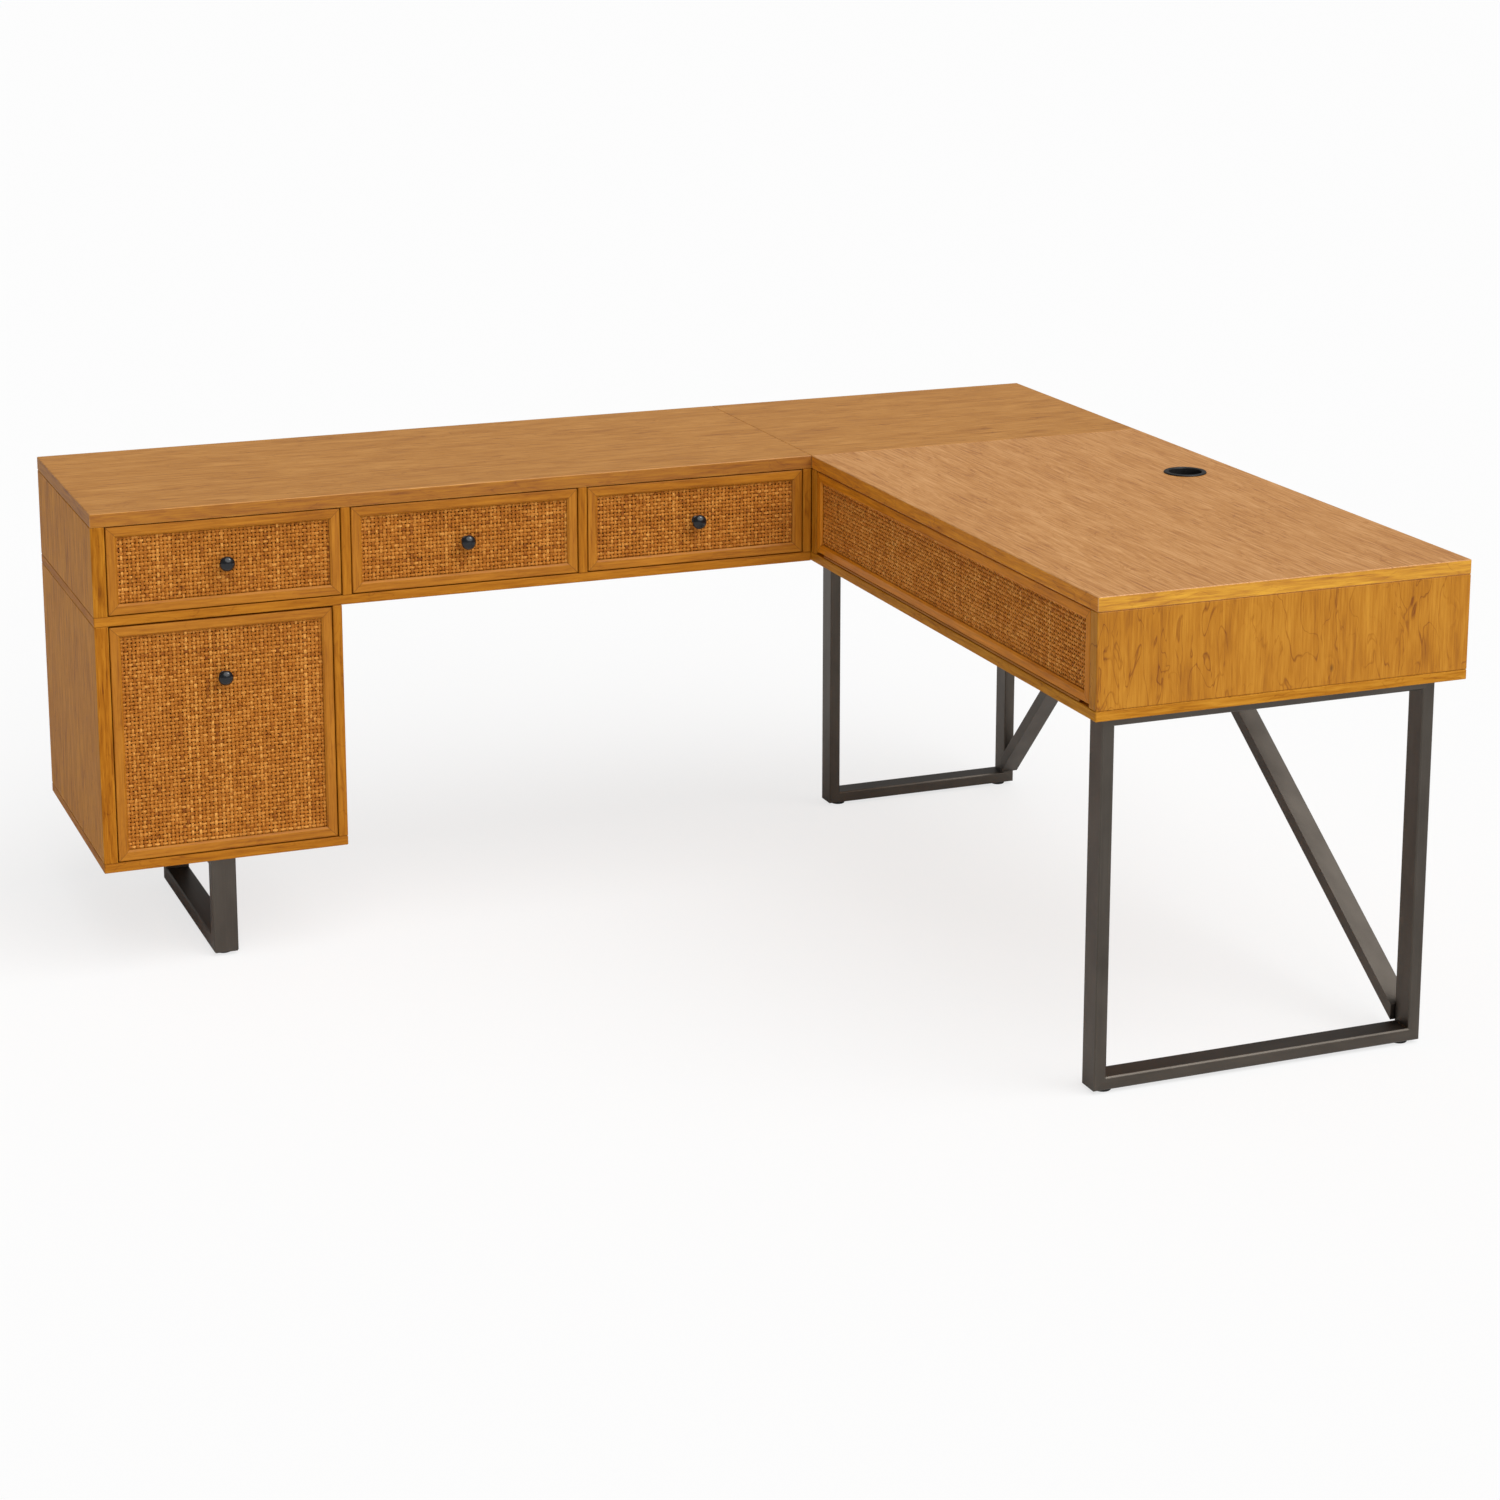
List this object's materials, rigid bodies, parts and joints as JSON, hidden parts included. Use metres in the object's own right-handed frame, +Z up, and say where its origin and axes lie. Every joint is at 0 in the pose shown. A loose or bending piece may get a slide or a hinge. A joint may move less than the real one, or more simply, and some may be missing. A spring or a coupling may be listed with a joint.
{
  "type": "corner desk",
  "caption": "L-shaped desk with woven shallow drawer fronts, a file drawer cabinet under the left end, a drop-front keyboard tray and open steel frame legs.",
  "frame": {"origin": "middle of the bounding box, on the floor", "axes": "+X to the right along the left wing, +Y to the back, +Z up; the right wing comes forward along -Y"},
  "size_m": [1.829, 1.51, 0.7645],
  "materials": {
    "top_wood": "satin, tan brown with long dark grain lines",
    "case_wood": "satin, warm mid brown",
    "front_wood": "satin, golden brown, mitred",
    "drawer_box_wood": "plain pale hardwood, matt",
    "woven_raffia": "hand woven, rough, orange brown",
    "bronze_steel": "satin dark bronze",
    "slide_steel": "zinc plated",
    "knob_black": "gloss near-black",
    "black_plastic": "matt black"
  },
  "bodies": {
    "desk": {"top_left_wing": "top_wood", "top_corner": "top_wood", "top_right_wing": "top_wood", "cable_grommet": "black_plastic", "left_wing_bottom": "case_wood", "left_wing_left_side": "case_wood", "left_wing_back": "case_wood", "drawer_divider_left": "case_wood", "drawer_divider_right": "case_wood", "left_wing_corner_side": "case_wood", "right_wing_bottom": "case_wood", "right_wing_end_panel": "front_wood", "right_wing_outer_side": "case_wood", "corner_back": "case_wood", "tray_bay_far_side": "case_wood", "cabinet_bottom": "case_wood", "cabinet_left_side": "case_wood", "cabinet_right_side": "case_wood", "cabinet_back": "case_wood", "near_leg_frame": "bronze_steel", "far_leg_frame": "bronze_steel", "cabinet_leg_frame": "bronze_steel", "near_brace": "bronze_steel", "far_brace": "bronze_steel", "near_frame_glide_left": "black_plastic", "near_frame_glide_right": "black_plastic", "far_frame_glide_left": "black_plastic", "far_frame_glide_right": "black_plastic", "cabinet_leg_glide_front": "black_plastic", "cabinet_leg_glide_back": "black_plastic", "drawer_left_guide": "drawer_box_wood", "drawer_middle_guide": "drawer_box_wood", "drawer_right_guide": "drawer_box_wood", "file_slide_fixed_left": "slide_steel", "file_slide_fixed_right": "slide_steel", "tray_runner_near": "slide_steel", "tray_runner_far": "slide_steel"},
    "drawer_left": {"drawer_left_front_frame": "front_wood", "drawer_left_woven_panel": "woven_raffia", "drawer_left_knob": "knob_black", "drawer_left_box": "drawer_box_wood"},
    "drawer_middle": {"drawer_middle_front_frame": "front_wood", "drawer_middle_woven_panel": "woven_raffia", "drawer_middle_knob": "knob_black", "drawer_middle_box": "drawer_box_wood"},
    "drawer_right": {"drawer_right_front_frame": "front_wood", "drawer_right_woven_panel": "woven_raffia", "drawer_right_knob": "knob_black", "drawer_right_box": "drawer_box_wood"},
    "file_drawer": {"file_drawer_front_frame": "front_wood", "file_drawer_woven_panel": "woven_raffia", "file_drawer_knob": "knob_black", "file_drawer_box": "drawer_box_wood", "file_slide_moving_left": "slide_steel", "file_slide_moving_right": "slide_steel"},
    "tray": {"keyboard_tray": "drawer_box_wood", "drop_front_hinge": "slide_steel"},
    "drop_front": {"drop_front_frame": "front_wood", "drop_front_woven_panel": "woven_raffia"}
  },
  "joints": [
    {"name": "drawer_left_slide", "type": "slide", "parent": "desk", "child": "drawer_left", "axis": [0, -1, 0], "range_m": [0, 0.3]},
    {"name": "drawer_middle_slide", "type": "slide", "parent": "desk", "child": "drawer_middle", "axis": [0, -1, 0], "range_m": [0, 0.3]},
    {"name": "drawer_right_slide", "type": "slide", "parent": "desk", "child": "drawer_right", "axis": [0, -1, 0], "range_m": [0, 0.3]},
    {"name": "file_drawer_slide", "type": "slide", "parent": "desk", "child": "file_drawer", "axis": [0, -1, 0], "range_m": [0, 0.33]},
    {"name": "tray_slide", "type": "slide", "parent": "desk", "child": "tray", "axis": [1, 0, 0], "range_m": [-0.24, 0]},
    {"name": "drop_front_hinge_joint", "type": "hinge", "parent": "tray", "child": "drop_front", "pos_m": [0.3039, -0.234, 0.5979], "axis": [0, 1, 0], "range_deg": [-90, 0]}
  ]
}
